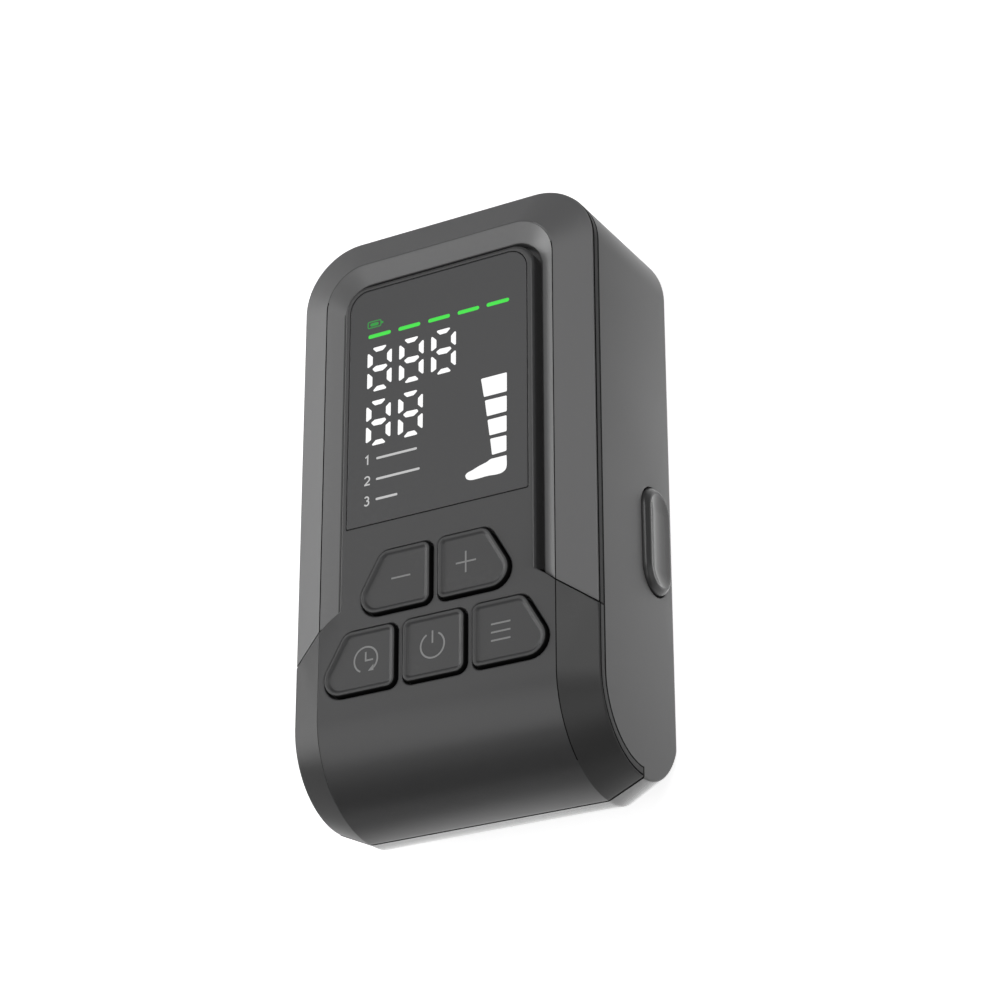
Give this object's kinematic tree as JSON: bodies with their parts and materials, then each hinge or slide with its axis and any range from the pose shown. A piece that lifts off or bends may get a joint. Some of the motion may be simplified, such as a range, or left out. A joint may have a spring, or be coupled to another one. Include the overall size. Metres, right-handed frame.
{
  "type": "air compression massager controller",
  "caption": "Handheld controller of an air compression foot massager: display, keys, side buttons, hose socket, pump, valves and cells in a curled grey case.",
  "frame": {"origin": "centre of the back face that the controller lies on, under the middle of its length and width", "axes": "+X to the right of someone reading the display, +Y up the length towards the display's end, +Z out of the display"},
  "size_m": [0.083, 0.148, 0.0433],
  "materials": {
    "shell_grey": "satin moulded grey",
    "button_grey": "satin moulded grey",
    "panel_grey": "satin moulded dark grey",
    "key_grey": "satin moulded dark grey",
    "lens_grey": "smoked lens, low gloss",
    "black_plastic": "moulded black",
    "wire_sleeve": "soft sleeve",
    "steel": "plated steel",
    "board_green": "solder mask",
    "cell_sleeve": "shrink sleeve",
    "white_plastic": "moulded white",
    "silicone": "translucent silicone"
  },
  "bodies": {
    "case": {"air_manifold": "black_plastic", "air_valve_1": "white_plastic", "air_valve_2": "white_plastic", "air_valve_3": "white_plastic", "air_valve_4": "white_plastic", "air_valve_5": "white_plastic", "battery_cell_left": "cell_sleeve", "battery_cell_right": "cell_sleeve", "battery_lead": "wire_sleeve", "battery_tray": "black_plastic", "bezel_frame": "shell_grey", "board_screw_lower_left": "steel", "board_screw_lower_right": "steel", "board_screw_upper_left": "steel", "board_screw_upper_right": "steel", "buzzer": "black_plastic", "case_screw_bottom_left": "steel", "case_screw_bottom_right": "steel", "case_screw_top_left": "steel", "case_screw_top_right": "steel", "charge_port": "steel", "control_panel": "panel_grey", "display_lens": "lens_grey", "display_module": "black_plastic", "main_board": "board_green", "main_chip": "black_plastic", "minus_switch": "black_plastic", "mode_switch": "black_plastic", "motor_lead": "wire_sleeve", "plus_switch": "black_plastic", "power_switch": "black_plastic", "pressure_sensor": "black_plastic", "pump_cradle_left": "silicone", "pump_cradle_right": "silicone", "pump_head": "white_plastic", "pump_motor": "steel", "pump_tube": "silicone", "rear_casing": "shell_grey", "sensor_tube": "silicone", "side_switch_left": "black_plastic", "side_switch_right": "black_plastic", "timer_switch": "black_plastic"},
    "minus_key": {"minus_key": "key_grey"},
    "plus_key": {"plus_key": "key_grey"},
    "timer_key": {"timer_key": "key_grey"},
    "power_key": {"power_key": "key_grey"},
    "mode_key": {"mode_key": "key_grey"},
    "side_button_left": {"side_button_left": "button_grey"},
    "side_button_right": {"side_button_right": "button_grey"}
  },
  "joints": [
    {"name": "minus_key_press", "type": "slide", "parent": "case", "child": "minus_key", "axis": [0, 0, -1], "range_m": [0, 0.0008], "stiffness_N_per_m": 900},
    {"name": "plus_key_press", "type": "slide", "parent": "case", "child": "plus_key", "axis": [0, 0, -1], "range_m": [0, 0.0008], "stiffness_N_per_m": 900},
    {"name": "timer_key_press", "type": "slide", "parent": "case", "child": "timer_key", "axis": [0, 0, -1], "range_m": [0, 0.0008], "stiffness_N_per_m": 900},
    {"name": "power_key_press", "type": "slide", "parent": "case", "child": "power_key", "axis": [0, 0, -1], "range_m": [0, 0.0008], "stiffness_N_per_m": 900},
    {"name": "mode_key_press", "type": "slide", "parent": "case", "child": "mode_key", "axis": [0, 0, -1], "range_m": [0, 0.0008], "stiffness_N_per_m": 900},
    {"name": "side_button_left_press", "type": "slide", "parent": "case", "child": "side_button_left", "axis": [1, 0, 0], "range_m": [0, 0.0012], "stiffness_N_per_m": 900},
    {"name": "side_button_right_press", "type": "slide", "parent": "case", "child": "side_button_right", "axis": [-1, 0, 0], "range_m": [0, 0.0012], "stiffness_N_per_m": 900}
  ]
}
